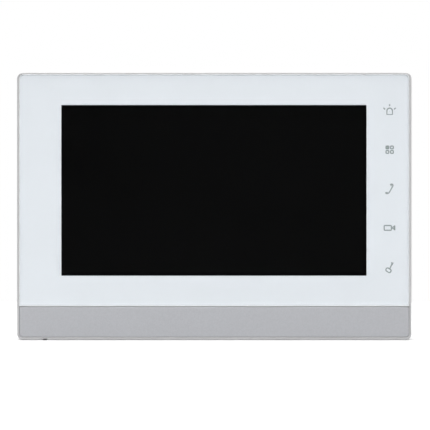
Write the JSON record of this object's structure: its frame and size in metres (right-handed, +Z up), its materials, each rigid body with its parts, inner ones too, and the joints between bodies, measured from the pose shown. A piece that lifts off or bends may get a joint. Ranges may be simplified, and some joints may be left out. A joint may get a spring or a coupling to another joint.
{
  "type": "video intercom monitor",
  "caption": "Slim wall-mounted indoor monitor for a door intercom, with a wide screen, a column of touch keys, a plain lower strip and a hook-on steel wall bracket.",
  "frame": {"origin": "on the wall, at the middle of the front's outline, on the back face of the wall bracket", "axes": "+X to the right of someone facing the screen, +Z up, +Y into the wall, so the screen faces -Y"},
  "size_m": [0.2, 0.0258, 0.1354],
  "materials": {
    "silver_frame": "satin silver-grey moulded ABS",
    "silver_strip": "fine-grained satin silver paint on moulded ABS",
    "clear_lens": "clear polished acrylic",
    "white_print": "white print seen through the clear panel",
    "foam": "black closed-cell foam",
    "rubber": "black rubber",
    "sheet_steel": "galvanised sheet steel",
    "display_glass": "black display, unlit",
    "light_guide": "white reflector and light guide stack",
    "circuit_board": "green solder mask on glass fibre",
    "lamp": "white lamp package",
    "zinc_screw": "zinc-plated steel",
    "black_plastic": "black moulded plastic",
    "socket_green": "green moulded plastic",
    "ribbon": "flat flexible ribbon",
    "cover_plastic": "fine-textured light grey moulded ABS",
    "speaker_cone_film": "dark formed film",
    "copper": "enamelled copper wire",
    "label_foil": "blank silver foil label"
  },
  "bodies": {
    "bracket": {"wall_bracket": "sheet_steel"},
    "monitor": {"front_frame": "silver_frame", "cover_lens": "clear_lens", "print_mask": "white_print", "panel_adhesive": "foam", "trim_strip": "silver_strip", "lcd_gasket": "foam", "lcd_frame": "sheet_steel", "lcd_glass": "display_glass", "lcd_backlight": "light_guide", "touch_key_board": "circuit_board", "lcd_support": "sheet_steel", "main_board": "circuit_board", "processor_shield": "sheet_steel", "power_inductor": "black_plastic", "filter_capacitor": "zinc_screw", "network_jack": "black_plastic", "power_socket": "socket_green", "alarm_socket": "socket_green", "reset_switch": "black_plastic", "display_cable": "ribbon", "touch_cable": "ribbon", "microphone": "zinc_screw", "microphone_boot": "rubber", "speaker_frame": "sheet_steel", "speaker_magnet": "zinc_screw", "speaker_gasket": "foam", "rear_cover": "cover_plastic", "connector_tub": "cover_plastic", "rating_label": "label_foil", "speaker_lead": "rubber", "microphone_lead": "rubber", "key_lamp_1": "lamp", "key_lamp_2": "lamp", "key_lamp_3": "lamp", "key_lamp_4": "lamp", "key_lamp_5": "lamp", "support_screw_1": "zinc_screw", "board_screw_1": "zinc_screw", "board_standoff_1": "zinc_screw", "support_screw_2": "zinc_screw", "board_screw_2": "zinc_screw", "board_standoff_2": "zinc_screw", "support_screw_3": "zinc_screw", "board_screw_3": "zinc_screw", "board_standoff_3": "zinc_screw", "support_screw_4": "zinc_screw", "board_screw_4": "zinc_screw", "board_standoff_4": "zinc_screw", "cover_screw_1": "zinc_screw", "cover_screw_2": "zinc_screw", "cover_screw_3": "zinc_screw", "cover_screw_4": "zinc_screw", "cover_screw_5": "zinc_screw", "cover_screw_6": "zinc_screw"},
    "speaker_diaphragm": {"speaker_cone": "speaker_cone_film", "voice_coil": "copper"},
    "reset_button": {"reset_plunger": "cover_plastic"}
  },
  "joints": [
    {"name": "monitor_lift", "type": "slide", "parent": "bracket", "child": "monitor", "axis": [0, 0, 1], "range_m": [0, 0.009]},
    {"name": "speaker_travel", "type": "slide", "parent": "monitor", "child": "speaker_diaphragm", "axis": [0, 1, 0], "range_m": [-0.0005, 0.0005], "stiffness_N_per_m": 1500},
    {"name": "reset_press", "type": "slide", "parent": "monitor", "child": "reset_button", "axis": [0, -1, 0], "range_m": [0, 0.0003], "stiffness_N_per_m": 4000}
  ]
}
